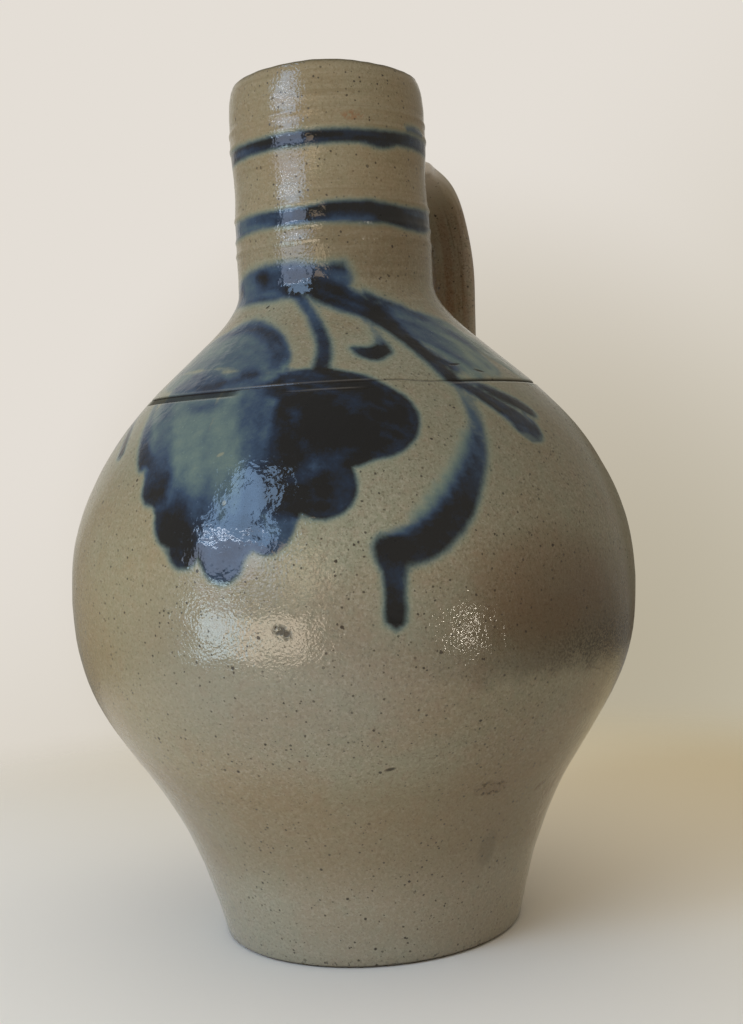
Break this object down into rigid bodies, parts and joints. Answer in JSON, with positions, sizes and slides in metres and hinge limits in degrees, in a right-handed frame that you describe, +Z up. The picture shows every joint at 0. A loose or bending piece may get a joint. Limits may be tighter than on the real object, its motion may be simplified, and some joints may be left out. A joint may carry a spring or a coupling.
{
  "type": "stoneware jug",
  "caption": "Bellied salt-glazed stoneware jug with a straight ridged neck, a strap handle from neck to shoulder, and brushed cobalt bands, flower and leaves.",
  "frame": {"origin": "centre of the flat underside of the foot, on the axis of the neck", "axes": "+Z up along the axis the pot was thrown on, +Y towards the handle, -Y towards the painted front, +X to the right of someone facing the painted front"},
  "size_m": [0.2, 0.2, 0.3],
  "materials": {
    "stoneware": "glossy salt glaze with an orange-peel skin and iron specks",
    "joint_clay": "the same salt glaze, a shade browner where clay was worked in"
  },
  "bodies": {
    "root": {"thrown_vessel": "stoneware", "strap_handle": "stoneware", "upper_luting_clay": "joint_clay", "lower_luting_clay": "joint_clay"}
  },
  "joints": []
}
